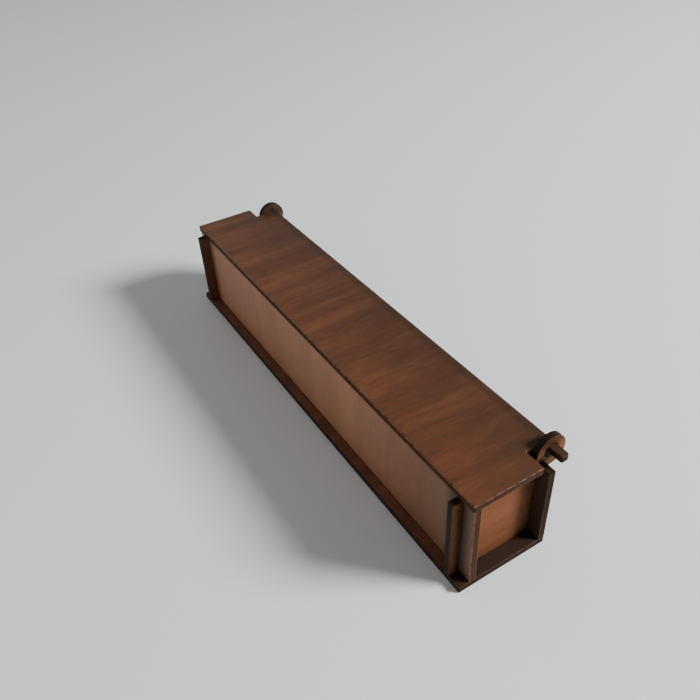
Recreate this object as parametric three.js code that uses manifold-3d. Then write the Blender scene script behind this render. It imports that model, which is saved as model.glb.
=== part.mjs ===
// A long hinged box of laser-cut plywood: a base, two long walls, two end walls and a lid.
// Every panel is one flat outline, cut from the same sheet and set on edge or laid flat.
// Millimetres, +Z up. The origin is the centre of the base's underside. X runs along the box,
// -Y is the front and +Y the hinge side.
import * as THREE from "three";
import { mergeVertices } from "three/addons/utils/BufferGeometryUtils.js";
import Module from "manifold-3d";

// Driving dimensions
const PLY = 3; // thickness of the sheet
const KERF = 0.1; // gap that the cutting beam leaves round a tenon or a halving joint

const LENGTH = 240; // base, long walls and lid
const BASE_DEPTH = 42;
const LID_DEPTH = 43.6;
const LID_TOP = 46.4; // upper face of the closed lid
const FRONT_LEDGE = 4.7; // base in front of the front wall
const LID_FRONT_OVERHANG = 0.7; // lid in front of the front wall
const LID_GAP = 0.1; // between the closed lid and the walls that it rests on
const BACK_WALL_DROP = 2.6; // the back wall is this much lower, which lets the lid turn

const END_RECESS = 6.3; // from the ends of the long walls to the end wall between them
const EAR_RADIUS = 7.1; // ring at the top back corner of an end wall
const EAR_HOLE_RADIUS = 3.4;
const EAR_DROP = 0.5; // from the middle of the hole down to the middle of the ear
const EAR_SEGMENTS = 48; // round an ear, and round its hole

const TAB_ROOT_DEPTH = 4.8; // hinge tab of the lid inside its ear, a bar of TAB_ROOT_DEPTH by PLY
const TAB_DEPTH = 3.6; // the tab outside its ear
const TAB_SHOULDER = 1; // from the outer face of the ear in to where the tab starts to narrow
const TAB_RISE = 0.7; // middle of the tab's edge above the middle of the hole in the ear
const TAB_ROUNDING = 0.9; // radius of the two corners at the end of a tab
const TAB_ROUNDING_STEPS = 6;
const NOTCH_REACH = 12.1; // from the lid's back edge to the front of a notch
const NOTCH_CLEARANCE = 0.15; // between an ear and the inner end of its notch

const TENON_LENGTH = 14; // along a wall, let into the base
const LONG_WALL_TENONS = [-75, 0, 75]; // middles, along X

// Derived places
const HALF_LENGTH = LENGTH / 2;
const LID_UNDERSIDE = LID_TOP - PLY;
const WALL_TOP = LID_UNDERSIDE - LID_GAP;
const BACK_WALL_TOP = WALL_TOP - BACK_WALL_DROP;
const HALVING_Z = (PLY + BACK_WALL_TOP) / 2;
const BASE_FRONT = -BASE_DEPTH / 2;
const BACK_FACE = BASE_DEPTH / 2; // outer face of the back wall
const FRONT_FACE = BASE_FRONT + FRONT_LEDGE; // outer face of the front wall
const LID_FRONT = FRONT_FACE - LID_FRONT_OVERHANG;
const LID_BACK = LID_FRONT + LID_DEPTH;
const END_WALL_X = HALF_LENGTH - END_RECESS - PLY / 2; // middle of an end wall
const END_WALL_TENON_Y = (FRONT_FACE + BACK_FACE) / 2; // middle, between the long walls
const NOTCH_LENGTH = END_RECESS + PLY + NOTCH_CLEARANCE;
const HINGE_Y = LID_BACK - TAB_ROOT_DEPTH / 2; // middle of the holes in the ears
const HINGE_Z = LID_TOP - PLY / 2 - TAB_RISE;
const EAR_Z = HINGE_Z - EAR_DROP;

const wasm = await Module();
wasm.setup();

function solidFrom(geometry) {
  const bare = geometry.clone().deleteAttribute("normal").deleteAttribute("uv");
  const merged = mergeVertices(bare);
  const mesh = new wasm.Mesh({
    numProp: 3,
    vertProperties: merged.attributes.position.array,
    triVerts: new Uint32Array(merged.index.array),
  });
  return new wasm.Manifold(mesh);
}

function geometryFrom(solid) {
  const { vertProperties, triVerts } = solid.getMesh();
  const indexed = new THREE.BufferGeometry()
    .setAttribute("position", new THREE.BufferAttribute(vertProperties, 3))
    .setIndex(new THREE.BufferAttribute(triVerts, 1));
  const faceted = indexed.toNonIndexed();
  faceted.computeVertexNormals();
  return faceted;
}

// A closed outline from a list of points.
function outline(points) {
  return new THREE.Shape(points.map(([u, v]) => new THREE.Vector2(u, v)));
}

function cutFromSheet(shape, curveSegments = 1) {
  return new THREE.ExtrudeGeometry(shape, { depth: PLY, bevelEnabled: false, curveSegments });
}

// Cuts a rectangular mortise, given by its middle and its size, through a sheet.
function mortise(solid, [u, v], [width, height]) {
  const tool = new THREE.BoxGeometry(width, height, 3 * PLY).translate(u, v, 0);
  return solid.subtract(solidFrom(tool));
}

// The base: mortises for the front wall and the end walls, and open ones along its back edge.
function basePanel() {
  const long = TENON_LENGTH + 2 * KERF;
  const wide = PLY + 2 * KERF;
  let solid = solidFrom(
    cutFromSheet(
      outline([
        [-HALF_LENGTH, BASE_FRONT],
        [HALF_LENGTH, BASE_FRONT],
        [HALF_LENGTH, BACK_FACE],
        [-HALF_LENGTH, BACK_FACE],
      ]),
    ),
  );
  for (const x of LONG_WALL_TENONS) {
    solid = mortise(solid, [x, FRONT_FACE + PLY / 2], [long, wide]);
    solid = mortise(solid, [x, BACK_FACE], [long, 2 * (PLY + KERF)]);
  }
  for (const x of [-END_WALL_X, END_WALL_X])
    solid = mortise(solid, [x, END_WALL_TENON_Y], [wide, long]);
  return geometryFrom(solid);
}

// A long wall: tenons below, and a slot from above for each end wall.
function longWallPanel(top) {
  const tenons = LONG_WALL_TENONS.flatMap((x) => [
    [x - TENON_LENGTH / 2, PLY],
    [x - TENON_LENGTH / 2, 0],
    [x + TENON_LENGTH / 2, 0],
    [x + TENON_LENGTH / 2, PLY],
  ]);
  const slots = [END_WALL_X, -END_WALL_X].flatMap((x) => [
    [x + PLY / 2 + KERF, top],
    [x + PLY / 2 + KERF, HALVING_Z - KERF],
    [x - PLY / 2 - KERF, HALVING_Z - KERF],
    [x - PLY / 2 - KERF, top],
  ]);
  const edge = [
    [-HALF_LENGTH, PLY],
    ...tenons,
    [HALF_LENGTH, PLY],
    [HALF_LENGTH, top],
    ...slots,
    [-HALF_LENGTH, top],
  ];
  return cutFromSheet(outline(edge));
}

// An end wall: slots from below for both long walls, a tenon, and the ear that holds the lid.
function endWallPanel() {
  const frontSlot = [FRONT_FACE - KERF, FRONT_FACE + PLY + KERF];
  const earTurn = Math.asin((WALL_TOP - EAR_Z) / EAR_RADIUS); // where the ear meets the top
  const earFoot = Math.acos((BACK_FACE - HINGE_Y) / EAR_RADIUS); // where it meets the back edge
  const shape = new THREE.Shape();
  shape.moveTo(BASE_FRONT, PLY);
  shape.lineTo(frontSlot[0], PLY);
  shape.lineTo(frontSlot[0], HALVING_Z + KERF);
  shape.lineTo(frontSlot[1], HALVING_Z + KERF);
  shape.lineTo(frontSlot[1], PLY);
  shape.lineTo(END_WALL_TENON_Y - TENON_LENGTH / 2, PLY);
  shape.lineTo(END_WALL_TENON_Y - TENON_LENGTH / 2, 0);
  shape.lineTo(END_WALL_TENON_Y + TENON_LENGTH / 2, 0);
  shape.lineTo(END_WALL_TENON_Y + TENON_LENGTH / 2, PLY);
  shape.lineTo(BACK_FACE - PLY - KERF, PLY);
  shape.lineTo(BACK_FACE - PLY - KERF, HALVING_Z + KERF);
  shape.lineTo(BACK_FACE, HALVING_Z + KERF);
  shape.absarc(HINGE_Y, EAR_Z, EAR_RADIUS, -earFoot, Math.PI - earTurn, false);
  shape.lineTo(BASE_FRONT, WALL_TOP);
  shape.closePath();
  shape.holes.push(new THREE.Path().absarc(HINGE_Y, HINGE_Z, EAR_HOLE_RADIUS, 0, 2 * Math.PI));
  return cutFromSheet(shape, EAR_SEGMENTS);
}

// A rounded corner between the side of a hinge tab, at y, and its end, at x. The rest of the tab
// lies toward +Y of its side if inward is 1, and toward -Y if it is -1.
function tabCorner(x, y, inward) {
  const outward = Math.sign(x);
  return Array.from({ length: TAB_ROUNDING_STEPS + 1 }, (_, i) => {
    const turn = ((i / TAB_ROUNDING_STEPS) * Math.PI) / 2;
    return [
      x - outward * TAB_ROUNDING * (1 - Math.sin(turn)),
      y + inward * TAB_ROUNDING * (1 - Math.cos(turn)),
    ];
  });
}

// The lid: a notch at both back corners for an ear, and across the open side of each notch a tab
// that nearly fills the hole in the ear, and narrows where it comes out of it.
function lidPanel() {
  const notchFront = LID_BACK - NOTCH_REACH;
  const notchEnd = HALF_LENGTH - NOTCH_LENGTH;
  const shoulder = HALF_LENGTH - END_RECESS - TAB_SHOULDER;
  const corner = (side) => [
    [side * HALF_LENGTH, notchFront],
    [side * notchEnd, notchFront],
    [side * notchEnd, LID_BACK - TAB_ROOT_DEPTH],
    [side * shoulder, LID_BACK - TAB_ROOT_DEPTH],
    [side * (shoulder + TAB_ROOT_DEPTH - TAB_DEPTH), LID_BACK - TAB_DEPTH],
    ...tabCorner(side * HALF_LENGTH, LID_BACK - TAB_DEPTH, 1),
    ...tabCorner(side * HALF_LENGTH, LID_BACK, -1).toReversed(),
  ];
  const edge = [
    [-HALF_LENGTH, LID_FRONT],
    [HALF_LENGTH, LID_FRONT],
    ...corner(1),
    ...corner(-1).toReversed(),
  ];
  return cutFromSheet(outline(edge));
}

const box = new THREE.Group();

// Adds a panel in its colour, laid or stood by one of the three functions below.
function add(name, geometry, color, place) {
  const finish = new THREE.MeshStandardMaterial({ color, roughness: 0.5, metalness: 0 });
  const panel = new THREE.Mesh(geometry, finish);
  panel.name = name;
  place(panel);
  box.add(panel);
}

// Lays a sheet flat, with its lower face at height z.
function flatAt(z) {
  return (panel) => panel.position.set(0, 0, z);
}

// Stands a sheet along the box, with its outline in X and Z, and its front face at y.
function alongAt(y) {
  return (panel) => {
    panel.rotation.set(Math.PI / 2, 0, 0);
    panel.position.set(0, y + PLY, 0);
  };
}

// Stands a sheet across the box, with its outline in Y and Z, and its middle at x.
function acrossAt(x) {
  return (panel) => {
    panel.rotation.set(Math.PI / 2, 0, Math.PI / 2, "ZYX");
    panel.position.set(x - PLY / 2, 0, 0);
  };
}

add("base", basePanel(), "#5d3421", flatAt(0));
add("front_wall", longWallPanel(WALL_TOP), "#7d4d35", alongAt(FRONT_FACE));
add("back_wall", longWallPanel(BACK_WALL_TOP), "#7d4d35", alongAt(BACK_FACE - PLY));
add("near_end_wall", endWallPanel(), "#8a5436", acrossAt(END_WALL_X));
add("far_end_wall", endWallPanel(), "#8a5436", acrossAt(-END_WALL_X));
add("lid", lidPanel(), "#6b3d26", flatAt(LID_UNDERSIDE));

export default box;
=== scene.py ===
"""A long hinged box of laser-cut walnut plywood, on a pale studio floor.

Every panel is rebuilt from the outline of its CAD node: the same flat shape, with eased arrises,
rounded corners, the glue lines of the ply cut into its edges, and a scorched rim round each cut.
"""

import math

import bmesh
import bpy
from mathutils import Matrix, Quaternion, Vector
from mathutils.geometry import tessellate_polygon


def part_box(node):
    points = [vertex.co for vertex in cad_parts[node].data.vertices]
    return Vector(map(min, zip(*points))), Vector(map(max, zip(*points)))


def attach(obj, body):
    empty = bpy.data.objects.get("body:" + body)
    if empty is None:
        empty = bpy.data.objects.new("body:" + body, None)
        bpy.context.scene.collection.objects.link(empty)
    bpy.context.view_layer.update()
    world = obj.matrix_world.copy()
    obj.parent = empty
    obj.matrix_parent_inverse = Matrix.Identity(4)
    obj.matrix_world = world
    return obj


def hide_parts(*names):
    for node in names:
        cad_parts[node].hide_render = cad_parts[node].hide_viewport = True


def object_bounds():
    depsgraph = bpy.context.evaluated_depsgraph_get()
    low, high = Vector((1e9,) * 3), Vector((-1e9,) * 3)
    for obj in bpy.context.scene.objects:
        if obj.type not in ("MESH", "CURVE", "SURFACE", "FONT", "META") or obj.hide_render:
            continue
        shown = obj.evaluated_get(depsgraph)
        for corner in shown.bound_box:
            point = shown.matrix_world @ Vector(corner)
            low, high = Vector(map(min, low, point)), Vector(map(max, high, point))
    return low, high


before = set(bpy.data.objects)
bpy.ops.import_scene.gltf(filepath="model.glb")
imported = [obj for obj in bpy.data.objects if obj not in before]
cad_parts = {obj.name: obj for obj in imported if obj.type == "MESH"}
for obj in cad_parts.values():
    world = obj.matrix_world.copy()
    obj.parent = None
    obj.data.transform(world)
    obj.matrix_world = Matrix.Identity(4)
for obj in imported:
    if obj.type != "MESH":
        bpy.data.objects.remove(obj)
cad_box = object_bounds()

MM = 0.001
X, Y, Z = 0, 1, 2


def add_object(name, data):
    made = bpy.data.objects.new(name, data)
    bpy.context.scene.collection.objects.link(made)
    return made


# ---------------------------------------------------------------- panels

ARRIS = 0.22 * MM  # how far an edge is eased on to a face
ARRIS_MIDDLE = 0.29 * ARRIS  # from the middle of an arris to each of the two planes that it joins
CORNER_RADIUS = 0.35 * MM  # outer corners of a panel, seen flat
LEAST_RADIUS = 0.02 * MM  # what is left of that radius where the outline moves in past it
CORNER_STEPS = 5
HALO = 0.8 * MM  # width of the scorched rim on a face, less than the radius of any outer curve
GLUE_GROOVE = 0.025 * MM  # depth of the two glue lines in a cut edge
GLUE_WIDTH = 0.16 * MM
SHARP_TURN = math.radians(40)  # an outline that turns less than this is part of a curve
LEAST_TURN = 0.002  # radians: an outline that turns less than this is straight
CREASE = math.radians(32)  # faces that meet at a larger angle aren't shaded as one
SAME_POINT = 0.001 * MM  # CAD vertices that lie closer than this are one
SAME_CORNER = 0.0001 * MM  # corners of an outline that lie closer than this are dropped
ROUND_TO = 0.01 * MM  # step in which points are put in order

FACE, EDGE, RIM = 0, 1, 2  # material slots of a panel
FULL_OUTLINE = 3  # the first level of a profile that isn't moved in

# how far apart the veneers of two panels lie in the noise, for each step of their seeds
SEED_ACROSS = 37.0
SEED_DEPTH = 11.0


def cap_loops(node, axis):
    """The outlines of a flat panel's upper face, holes included, as lists of 2D points.
    The wood is on their left."""
    bm = bmesh.new()
    bm.from_mesh(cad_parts[node].data)
    bmesh.ops.remove_doubles(bm, verts=bm.verts, dist=SAME_POINT)
    top = max(vert.co[axis] for vert in bm.verts)
    cap = {f for f in bm.faces if all(abs(vert.co[axis] - top) < SAME_POINT for vert in f.verts)}
    onward = {}
    for f in cap:
        for corner in f.loops:
            if sum(g in cap for g in corner.edge.link_faces) == 1:
                onward[corner.vert] = corner.link_loop_next.vert
    u, v = (axis + 1) % 3, (axis + 2) % 3
    loops = []
    while onward:
        start = vert = next(iter(onward))
        points = []
        while True:
            points.append(Vector((vert.co[u], vert.co[v])))
            vert = onward.pop(vert)
            if vert is start:
                break
        loops.append(from_lowest(without_straights(points)))
    bm.free()
    return sorted(loops, key=lambda points: rounded(points[0]))


def rounded(point):
    """A point in whole hundredths of a millimetre, to tell the order of two points."""
    return round(point.x / ROUND_TO), round(point.y / ROUND_TO)


def from_lowest(points):
    """The outline from its lowest point on, so that it starts in the same place each time."""
    first = min(range(len(points)), key=lambda i: rounded(points[i]))
    return points[first:] + points[:first]


def without_straights(points):
    """The outline without its doubled points and the points where it goes straight on."""
    kept = []
    for i, here in enumerate(points):
        before, after = here - points[i - 1], points[(i + 1) % len(points)] - here
        if min(before.length, after.length) > SAME_CORNER:
            if abs(before.angle_signed(after)) > LEAST_TURN:
                kept.append(here)
    return kept


def ring(points, inset):
    """The outline moved by inset into the wood, with its outer corners rounded.
    The number of points doesn't depend on inset."""
    placed = []
    for i, here in enumerate(points):
        before = (here - points[i - 1]).normalized()
        after = (points[(i + 1) % len(points)] - here).normalized()
        left_a, left_b = Vector((-before.y, before.x)), Vector((-after.y, after.x))
        mitre = (left_a + left_b) / (1 + left_a.dot(left_b))
        spot = here + mitre * inset
        turn = before.x * after.y - before.y * after.x
        if turn > math.sin(SHARP_TURN):
            radius = max(CORNER_RADIUS - inset, LEAST_RADIUS)
            centre = spot + mitre * radius
            for k in range(CORNER_STEPS + 1):
                share = k / CORNER_STEPS
                out = -(left_a * (1 - share) + left_b * share).normalized()
                placed.append(centre + out * radius)
        else:
            placed.append(spot)
    return placed


def profile(low, high):
    """The levels of a panel from its lower face to its upper face.
    Each is (inset, height, scorch, material of the band above it)."""
    third = (high - low) / 3
    levels = [
        (HALO, low, 0.0, FACE),
        (ARRIS, low, 1.0, RIM),
        (ARRIS_MIDDLE, low + ARRIS_MIDDLE, 1.0, RIM),
        (0, low + ARRIS, 1.0, EDGE),
    ]
    for line in (low + third, low + 2 * third):
        levels.append((0, line - GLUE_WIDTH / 2, 1.0, EDGE))
        levels.append((GLUE_GROOVE, line, 1.0, EDGE))
        levels.append((0, line + GLUE_WIDTH / 2, 1.0, EDGE))
    levels += [
        (0, high - ARRIS, 1.0, RIM),
        (ARRIS_MIDDLE, high - ARRIS_MIDDLE, 1.0, RIM),
        (ARRIS, high, 1.0, FACE),
        (HALO, high, 0.0, FACE),
    ]
    return levels


def panel(name, node, axis, body, materials, seed, grain):
    """Builds one panel round its CAD node's outline. axis is the one across the sheet, and grain is
    0 or 1: which of the outline's two directions the grain of the veneer runs in."""
    low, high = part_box(node)[0][axis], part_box(node)[1][axis]
    loops = cap_loops(node, axis)
    u, v = (axis + 1) % 3, (axis + 2) % 3
    bm = bmesh.new()
    scorch = bm.verts.layers.float.new("scorch")
    sheet = bm.loops.layers.float_vector.new("sheet")

    def put(point, height, heat):
        co = [0.0, 0.0, 0.0]
        co[u], co[v], co[axis] = point.x, point.y, height
        vert = bm.verts.new(co)
        vert[scorch] = heat
        return vert

    def finish(face, material, place):
        face.material_index = material
        face.smooth = True
        for corner in face.loops:
            corner[sheet] = place(corner.vert)

    def on_face(vert):
        along, across = (vert.co[u], vert.co[v]) if grain == 0 else (vert.co[v], vert.co[u])
        return (across / MM + SEED_ACROSS * seed, along / MM, SEED_DEPTH * seed)

    levels = profile(low, high)
    ends = ([], [])
    for points in loops:
        rings = [[put(p, height, heat) for p in ring(points, inset)]
                 for inset, height, heat, _ in levels]
        outer = rings[FULL_OUTLINE]
        run = [0.0]
        for i in range(len(outer)):
            run.append(run[-1] + (outer[(i + 1) % len(outer)].co - outer[i].co).length / MM)
        for (_, _, _, material), lower, upper in zip(levels, rings, rings[1:]):
            for i in range(len(lower)):
                j = (i + 1) % len(lower)
                face = bm.faces.new((lower[i], lower[j], upper[j], upper[i]))
                if material == FACE:
                    finish(face, material, on_face)
                    continue
                reach = {lower[i]: run[i], upper[i]: run[i]}
                reach.update({lower[j]: run[i + 1], upper[j]: run[i + 1]})
                finish(face, material, lambda vert: (
                    reach[vert], (vert.co[axis] - low) / MM, SEED_DEPTH * seed))
        ends[0].append(rings[0])
        ends[1].append(rings[-1])
    for rims, facing in zip(ends, (-1, 1)):
        flat = [vert for rim_verts in rims for vert in rim_verts]
        outlines = [[(vert.co[u], vert.co[v], 0) for vert in rim_verts] for rim_verts in rims]
        for triangle in tessellate_polygon(outlines):
            a, b, c = (flat[i] for i in triangle)
            if (b.co - a.co).cross(c.co - a.co)[axis] * facing < 0:
                b, c = c, b
            finish(bm.faces.new((a, b, c)), FACE, on_face)
    bmesh.ops.recalc_face_normals(bm, faces=bm.faces)
    for edge in bm.edges:
        edge.smooth = len(edge.link_faces) == 2 and edge.calc_face_angle() < CREASE
    mesh = bpy.data.meshes.new(name)
    bm.to_mesh(mesh)
    bm.free()
    for material in materials:
        mesh.materials.append(material)
    made = add_object(name, mesh)
    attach(made, body)
    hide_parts(node)


# ---------------------------------------------------------------- materials

# the colour of the scorch round the cuts and of the glue lines, and also of the painted shade that
# the plane darkenings mix in
SCORCH_AND_SHADE = (0.020, 0.009, 0.005, 1)
PLY_MIDDLE = 1.5  # mm from either face of a sheet to the middle of its three plies

# noises: (cycles per mm across the grain, cycles per mm along it, detail, roughness)
WANDER = (0.035, 0.012, 2.0, 0.5)  # how the grain strays sideways
BANDS = (0.075, 0.006, 3.0, 0.55)  # the grain, from broad bands to single fibres
STREAKS = (0.50, 0.035, 3.0, 0.55)
RIPPLES = (0.36, 0.12, 3.0, 0.6)
FIBRES = (3.2, 0.11, 3.0, 0.6)
CLOUDS = (0.05, 0.035, 2.0, 0.5)  # uneven stain
PORES = (1.5, 0.16, 1.0, 0.4)
PORE_DRIFTS = (0.12, 0.05, 1.0, 0.5)
LICKS = (0.9, 0.9, 2.0, 0.5)  # the uneven reach of the scorch round a cut
CHAR_LINES = (3.5, 0.10, 2.0, 0.6)  # on a cut edge, where across is along the cut
SOOT = (0.22, 0.30, 3.0, 0.6)
RUBS = (0.35, 0.0, 4.0, 0.65)  # worn spots along an arris

WANDER_REACH = 9.0  # mm
BAND_CONTRAST = 0.52  # what each noise adds to a tone that runs from 0 to 1
STREAK_CONTRAST = 0.45
RIPPLE_CONTRAST = 0.62
FIBRE_CONTRAST = 0.40
CLOUD_CONTRAST = 0.45
PORE_CONTRAST = 0.40
PORE_DARKNESS = 0.30
SCORCH_STRENGTH = 0.75
SATIN = 0.46  # roughness of the veneer, before what its fibres and pores add


class Nodes:
    """The node tree of a new material or world, with short calls for the nodes used here."""

    def __init__(self, owner, shader):
        owner.use_nodes = True
        self.owner = owner
        self.tree = owner.node_tree
        self.shader = self.tree.nodes[shader]

    def add(self, kind, settings=(), **inputs):
        node = self.tree.nodes.new(kind)
        for key, value in dict(settings).items():
            setattr(node, key, value)
        for key, value in inputs.items():
            self.feed(node, key.replace("_", " "), value)
        return node

    def feed(self, node, key, value):
        """Links or sets an input, which is named, or numbered by a string of digits."""
        socket = node.inputs[int(key)] if key.isdigit() else node.inputs[key]
        if isinstance(value, bpy.types.NodeSocket):
            self.tree.links.new(value, socket)
        else:
            socket.default_value = value

    def maths(self, operation, a, b=0.0):
        node = self.add("ShaderNodeMath", {"operation": operation})
        self.feed(node, "0", a)
        self.feed(node, "1", b)
        return node.outputs[0]

    def vector_maths(self, operation, a, b):
        node = self.add("ShaderNodeVectorMath", {"operation": operation})
        self.feed(node, "0", a)
        self.feed(node, "1", b)
        return node.outputs

    def swing(self, noise, reach):
        """Noise from 0 to 1, moved to lie round 0 and scaled by reach."""
        return self.maths("MULTIPLY", self.maths("SUBTRACT", noise, 0.5), reach)

    def apart(self, value, place):
        return self.maths("ABSOLUTE", self.maths("SUBTRACT", value, place))

    def mix(self, share, a, b):
        node = self.add("ShaderNodeMix", {"data_type": "RGBA"})
        self.feed(node, "0", share)
        self.feed(node, "6", a)
        self.feed(node, "7", b)
        return node.outputs[2]

    def spread(self, value, low, high, to_low=0.0, to_high=1.0):
        node = self.add("ShaderNodeMapRange", {"interpolation_type": "SMOOTHSTEP"})
        for key, number in zip("01234", (value, low, high, to_low, to_high)):
            self.feed(node, key, number)
        return node.outputs[0]

    def noise(self, vector, kind):
        """One of the noises named above. The vector is a place on a sheet, in millimetres."""
        across, along, detail, roughness = kind
        stretched = self.add("ShaderNodeMapping", Vector=vector, Scale=(across, along, 1.0))
        node = self.add("ShaderNodeTexNoise", Vector=stretched.outputs[0], Scale=1.0,
                        Detail=detail, Roughness=roughness)
        return node.outputs[0]

    def ramp(self, value, stops):
        """A colour from three stops: the first, the last, and the one between them."""
        node = self.add("ShaderNodeValToRGB", Fac=value)
        elements = node.color_ramp.elements
        for place, _ in stops[2:]:
            elements.new(place)
        for element, (place, color) in zip(elements, sorted(stops)):
            element.position = place
            element.color = (*color, 1)
        return node.outputs[0]

    def attribute(self, name, output):
        return self.add("ShaderNodeAttribute", {"attribute_name": name}).outputs[output]


def blank_material(name):
    return Nodes(bpy.data.materials.new(name), "Principled BSDF")


def smoke_and_shade(n, color, darkenings):
    """Darkens a colour about planes across one axis: char at the cut ends, painted shade in
    recesses, corners and cast shadows, and darker patches elsewhere. Each darkening is (axis, place
    of the plane, reach of the full strength, reach of the darkening, strength)."""
    where = n.add("ShaderNodeSeparateXYZ", Vector=n.add("ShaderNodeTexCoord").outputs["Object"])
    for axis, plane, full, reach, strength in darkenings:
        distance = n.apart(where.outputs[axis], plane)
        color = n.mix(n.spread(distance, reach, full, 0.0, strength), color, SCORCH_AND_SHADE)
    return color


def veneer(name, dark, middle, light, figure, gloss, darkenings=()):
    """Walnut veneer with an oiled satin finish. The colours are linear, figure scales the contrast
    of the grain, and gloss is the specular level."""
    n = blank_material(name)
    sheet = n.attribute("sheet", "Vector")
    wander = n.swing(n.noise(sheet, WANDER), WANDER_REACH)
    sideways = n.add("ShaderNodeCombineXYZ", X=wander).outputs[0]
    place = n.vector_maths("ADD", sheet, sideways)[0]

    bands = n.spread(n.noise(place, BANDS), 0.34, 0.66)
    fibres = n.noise(place, FIBRES)
    tone = n.maths("MULTIPLY", bands, BAND_CONTRAST * figure)
    tone = n.maths("ADD", tone, 0.5 - BAND_CONTRAST * figure / 2)
    for noise, contrast in (
        (n.noise(place, STREAKS), STREAK_CONTRAST * figure),
        (n.noise(place, RIPPLES), RIPPLE_CONTRAST * figure),
        (fibres, FIBRE_CONTRAST),
        (n.noise(place, CLOUDS), CLOUD_CONTRAST * figure),
    ):
        tone = n.maths("ADD", tone, n.swing(noise, contrast))
    color = n.ramp(tone, [(0.0, dark), (1.0, light), (0.5, middle)])

    # pores: short dark dashes along the grain, in drifts
    dashes = n.spread(n.noise(place, PORES), 0.60, 0.72)
    drifts = n.spread(n.noise(place, PORE_DRIFTS), 0.42, 0.62, 0.25, 1.0)
    pores = n.maths("MULTIPLY", dashes, drifts)
    pore_color = tuple(c * PORE_DARKNESS for c in dark) + (1,)
    color = n.mix(n.maths("MULTIPLY", pores, PORE_CONTRAST * figure * figure), color, pore_color)

    # scorch round every cut, uneven, soft
    licks = n.swing(n.noise(sheet, LICKS), 0.55)
    burn = n.spread(n.maths("ADD", n.attribute("scorch", "Fac"), licks), 0.35, 1.15)
    color = n.mix(n.maths("MULTIPLY", burn, SCORCH_STRENGTH), color, SCORCH_AND_SHADE)
    n.feed(n.shader, "Base Color", smoke_and_shade(n, color, darkenings))

    roughness = n.maths("ADD", n.maths("MULTIPLY", fibres, 0.14), SATIN)
    roughness = n.maths("ADD", roughness, n.maths("MULTIPLY", pores, 0.2))
    n.feed(n.shader, "Roughness", roughness)
    n.shader.inputs["Specular IOR Level"].default_value = gloss
    height = n.maths("SUBTRACT", n.maths("MULTIPLY", fibres, 0.5), n.maths("MULTIPLY", pores, 0.8))
    bump = n.add("ShaderNodeBump", Strength=0.35, Distance=0.08 * MM, Height=height)
    n.feed(n.shader, "Normal", bump.outputs[0])
    return n.owner


def cut_edge(name, char, ash, worn, gloss, darkenings=()):
    """The edge that the laser leaves: char over three plies, in fine lines across the thickness,
    polished by handling."""
    n = blank_material(name)
    place = n.attribute("sheet", "Vector")
    lines = n.noise(place, CHAR_LINES)
    soot = n.noise(place, SOOT)
    color = n.mix(n.spread(soot, 0.35, 0.68), char, ash)
    color = n.mix(n.maths("MULTIPLY", n.spread(lines, 0.45, 0.75), 0.45), color, worn)

    # the middle ply lies across the others and burns darker; the glue lines are darkest
    depth = n.add("ShaderNodeSeparateXYZ", Vector=place).outputs[Y]
    off_middle = n.apart(depth, PLY_MIDDLE)
    color = n.mix(n.maths("MULTIPLY", n.spread(off_middle, 0.62, 0.42), 0.30), color, char)
    glue = n.maths("SUBTRACT", 1.0, n.spread(n.apart(off_middle, PLY_MIDDLE / 3), 0.0, 0.16))
    color = n.mix(n.maths("MULTIPLY", glue, 0.35), color, SCORCH_AND_SHADE)
    n.feed(n.shader, "Base Color", smoke_and_shade(n, color, darkenings))

    n.feed(n.shader, "Roughness", n.spread(soot, 0.3, 0.7, 0.50, 0.68))
    n.shader.inputs["Specular IOR Level"].default_value = gloss
    height = n.maths("ADD", lines, n.maths("MULTIPLY", soot, 0.3))
    bump = n.add("ShaderNodeBump", Strength=0.5, Distance=0.1 * MM, Height=height)
    n.feed(n.shader, "Normal", bump.outputs[0])
    return n.owner


def rim(name, char, worn, darkenings=()):
    """The eased arris between a face and a cut edge, where handling rubs the char back to bare
    wood in places; a light worn colour is also a painted highlight along the arris."""
    n = blank_material(name)
    rubs = n.noise(n.attribute("sheet", "Vector"), RUBS)
    color = n.mix(n.spread(rubs, 0.38, 0.62), char, worn)
    n.feed(n.shader, "Base Color", smoke_and_shade(n, color, darkenings))
    n.feed(n.shader, "Roughness", n.spread(rubs, 0.4, 0.6, 0.32, 0.45))
    n.shader.inputs["Specular IOR Level"].default_value = 0.2
    return n.owner


# the planes that the darkening spreads from, in metres: char, painted shade and darker patches
END = 0.120  # the ends of the box
END_WALL = 0.1120  # inside the thickness of each end wall
WALL_FRONT = -0.0165  # at the front wall's outer face
WALL_BACK = 0.0210  # the back wall's outer face
HINGE_SIDE = 0.0266  # the lid's edge on the hinge side
BASE_TOP = 0.003
LID_UNDERSIDE = 0.0434
OVER_EARS = 0.0520  # just above the ears


def both_ends(*stain):
    """The same stain at +X and at -X."""
    plane, *rest = stain
    return ((X, plane, *rest), (X, -plane, *rest))


# darkenings about those planes, as the darkening function takes them: char at the cut ends, painted
# shade in recesses, corners and cast shadows, and darker patches on the ears, tabs and lid
# painted shade on the back wall in the recesses at both ends, where the lid and walls keep the
# light off
PAINTED_SHADE_BACK_WALL_ENDS = both_ends(END, 0.0055, 0.012, 0.85)
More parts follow.
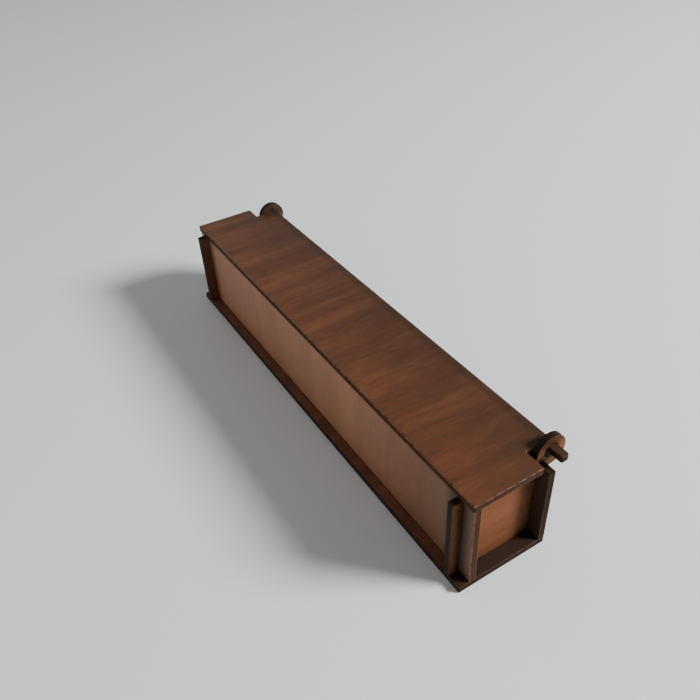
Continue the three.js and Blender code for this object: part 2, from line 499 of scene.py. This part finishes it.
# painted shade on the base in the recesses at both ends, under the lid's overhang
PAINTED_SHADE_RECESSES = both_ends(END, 0.0055, 0.012, 0.95)
FRONT_WALL_SHADE_AND_SMOKE = (
    (X, END, 0.010, 0.085, 0.56),  # slowly darker towards the near end
    # painted shade along the top of the wall, under the lid's edge
    (Z, LID_UNDERSIDE, 0.0004, 0.0030, 0.35),
    # laser smoke, and painted shade in the corners where the end walls join
    (X, END_WALL, 0.0028, 0.0095, 0.82),  # beside the joint at each end
    (X, -END_WALL, 0.0018, 0.0100, 0.6),
)
NEAR_END_SHADE_AND_EAR_DARKENING = (
    # painted shade on the end wall's stub beside the front wall
    (Y, WALL_FRONT, 0.0006, 0.0037, 0.75),
    # painted shadow of the back wall's stub across the end panel
    (Y, WALL_BACK, 0.0035, 0.0085, 0.50),
    # darker towards the top of the ear
    (Z, OVER_EARS, 0.0030, 0.0080, 0.55),
    # painted shade at the foot of the panel, where it meets the base
    (Z, BASE_TOP, 0.0, 0.013, 0.38),
)
# darker towards the top of the far ear
FAR_EAR_DARKENING = ((Z, OVER_EARS, 0.0078, 0.0100, 0.85),)
LID_DARKENING = (
    (Y, HINGE_SIDE, 0.004, 0.040, 0.36),  # slowly darker towards the hinge
    (X, -END, 0.010, 0.080, 0.15),  # and towards the far end
    (Y, HINGE_SIDE, 0.0028, 0.0052, 0.40),  # the tabs
)
# darker towards the top of the ears' cut edges
EAR_EDGE_DARKENING = ((Z, OVER_EARS, 0.0075, 0.0105, 0.85),)
# darker on the tabs
TAB_DARKENING = ((Y, HINGE_SIDE, 0.0037, 0.0052, 0.65),)
SMOKED_CUT_ENDS = both_ends(END, 0.0004, 0.0010, 0.50)
CHARRED_CUT_ENDS = both_ends(END, 0.0004, 0.0010, 0.85)

lid_face = veneer(
    "lid_veneer", (0.059, 0.0194, 0.0066), (0.103, 0.0325, 0.0104), (0.158, 0.0555, 0.0182),
    figure=1.0, gloss=0.42, darkenings=LID_DARKENING)
# painted light: the same walnut as the lid, but several times lighter, standing in for the light
# and sheen that the front wall catches from its side
front_face_painted_light = veneer(
    "front_wall_veneer_painted_light", (0.258, 0.105, 0.051), (0.335, 0.142, 0.070), (0.420, 0.188, 0.096),
    figure=0.5, gloss=0.6, darkenings=FRONT_WALL_SHADE_AND_SMOKE)
back_face = veneer(
    "back_wall_veneer", (0.080, 0.027, 0.0095), (0.128, 0.043, 0.0155), (0.190, 0.070, 0.027),
    figure=0.8, gloss=0.35, darkenings=PAINTED_SHADE_BACK_WALL_ENDS)
end_face = veneer(
    "end_veneer", (0.099, 0.0365, 0.0190), (0.159, 0.0610, 0.0275), (0.222, 0.0900, 0.039),
    figure=0.6, gloss=0.04, darkenings=NEAR_END_SHADE_AND_EAR_DARKENING)
far_end_face = veneer(
    "far_end_veneer", (0.095, 0.036, 0.020), (0.150, 0.058, 0.031), (0.200, 0.080, 0.045),
    figure=0.6, gloss=0.22, darkenings=FAR_EAR_DARKENING)
base_face = veneer(
    "base_veneer", (0.090, 0.033, 0.0175), (0.172, 0.065, 0.0325), (0.262, 0.104, 0.053),
    figure=0.8, gloss=0.3, darkenings=PAINTED_SHADE_RECESSES)
charred = cut_edge(
    "charred_edge", (0.018, 0.0088, 0.0054, 1), (0.055, 0.0265, 0.0160, 1),
    (0.092, 0.045, 0.0265, 1), gloss=0.04, darkenings=CHARRED_CUT_ENDS)
smoked = cut_edge(
    "smoked_edge", (0.014, 0.008, 0.005, 1), (0.036, 0.019, 0.013, 1),
    (0.060, 0.030, 0.018, 1), gloss=0.10, darkenings=EAR_EDGE_DARKENING)
handled = cut_edge(
    "handled_edge", (0.046, 0.0155, 0.0068, 1), (0.095, 0.0355, 0.0175, 1),
    (0.142, 0.060, 0.031, 1), gloss=0.05, darkenings=TAB_DARKENING + SMOKED_CUT_ENDS)
dark_arris = rim("dark_arris", (0.014, 0.008, 0.006, 1), (0.070, 0.036, 0.022, 1))
# the light tan is partly wear and partly a painted highlight along the lid's and front wall's
# arrises
rubbed_and_highlit_arris = rim(
    "rubbed_and_highlit_arris", (0.035, 0.016, 0.009, 1), (0.230, 0.120, 0.070, 1), TAB_DARKENING)

BASE_LOOK = (base_face, charred, dark_arris)
FRONT_LOOK = (front_face_painted_light, handled, rubbed_and_highlit_arris)
BACK_LOOK = (back_face, charred, dark_arris)
NEAR_LOOK = (end_face, smoked, dark_arris)
FAR_LOOK = (far_end_face, smoked, dark_arris)
LID_LOOK = (lid_face, handled, rubbed_and_highlit_arris)

panel("base_panel", "base", Z, "box", BASE_LOOK, seed=3, grain=1)
panel("front_wall_panel", "front_wall", Y, "box", FRONT_LOOK, seed=5, grain=0)
panel("back_wall_panel", "back_wall", Y, "box", BACK_LOOK, seed=8, grain=0)
panel("near_end_panel", "near_end_wall", X, "box", NEAR_LOOK, seed=13, grain=0)
panel("far_end_panel", "far_end_wall", X, "box", FAR_LOOK, seed=21, grain=0)
panel("lid_panel", "lid", Z, "lid", LID_LOOK, seed=1, grain=1)

# ---------------------------------------------------------------- studio

FLOOR_SIZE = 12.0
FLOOR_HEIGHT = -0.00005  # just under the base, so that the two faces don't coincide
FLOOR_COLOR = (0.88, 0.90, 0.91, 1)

KEY_DIRECTION = (0.5564, 0.64, 0.5299)  # from the middle of the box
KEY_DISTANCE = 2.0
KEY_SIZE = 0.62
KEY_POWER = 71.0
KEY_COLOR = (1.0, 0.99, 0.985)

# the room: an even glow, and four broad soft ones, each (towards, spread, strength)
ROOM_COLOR = (0.97, 0.99, 1.0, 1)
ROOM_GLOW = 0.03
GLOWS = (
    ((0.1, -1, 0.06), 8, 1.6),
    ((-1, -0.25, 0.35), 3, 0.79),
    ((0, 1, 0.3), 3, 0.25),
    ((1, -0.1, 0.05), 4, 0.32),
)


def quad(name, size, height, material):
    mesh = bpy.data.meshes.new(name)
    h = size / 2
    corners = [(-h, -h, height), (h, -h, height), (h, h, height), (-h, h, height)]
    mesh.from_pydata(corners, [], [(0, 1, 2, 3)])
    mesh.materials.append(material)
    return add_object(name, mesh)


floor_look = blank_material("pale_floor")
floor_look.feed(floor_look.shader, "Base Color", FLOOR_COLOR)
floor_look.feed(floor_look.shader, "Roughness", 0.6)
quad("floor", FLOOR_SIZE, FLOOR_HEIGHT, floor_look.owner)

key = bpy.data.lights.new("key", "AREA")
key.shape = "DISK"
key.size = KEY_SIZE
key.energy = KEY_POWER
key.color = KEY_COLOR
key_light = add_object("key", key)
away = Vector(KEY_DIRECTION).normalized()
key_light.location = (cad_box[0] + cad_box[1]) / 2 + away * KEY_DISTANCE
key_light.rotation_mode = "QUATERNION"
key_light.rotation_quaternion = away.to_track_quat("Z", "Y")

room = Nodes(bpy.data.worlds.new("studio"), "Background")
bpy.context.scene.world = room.owner
ray = room.add("ShaderNodeTexCoord").outputs["Generated"]
glow = ROOM_GLOW
for towards, spread, strength in GLOWS:
    facing = room.vector_maths("DOT_PRODUCT", ray, Vector(towards).normalized())["Value"]
    peak = room.maths("POWER", room.maths("MAXIMUM", facing, 0.0), spread)
    glow = room.maths("ADD", room.maths("MULTIPLY", peak, strength), glow)
room.feed(room.shader, "Color", ROOM_COLOR)
room.feed(room.shader, "Strength", glow)

# ---------------------------------------------------------------- camera

AZIMUTH, ELEVATION, ROLL = (math.radians(degrees) for degrees in (60.414, 38.499, -3.536))
CAMERA_PLACE = (0.234480, -0.125967, 0.238991)
SENSOR_WIDTH, LENS = 36, 36.962  # mm
CLIP = (0.01, 50)  # metres

back = Vector((
    math.sin(AZIMUTH) * math.cos(ELEVATION),
    -math.cos(AZIMUTH) * math.cos(ELEVATION),
    math.sin(ELEVATION),
))
camera = add_object("camera", bpy.data.cameras.new("camera"))
camera.location = CAMERA_PLACE
camera.rotation_mode = "QUATERNION"
camera.rotation_quaternion = back.to_track_quat("Z", "Y") @ Quaternion((0, 0, 1), ROLL)
camera.data.sensor_width = SENSOR_WIDTH
camera.data.lens = LENS
camera.data.clip_start, camera.data.clip_end = CLIP
bpy.context.scene.camera = camera

bpy.context.view_layer.update()
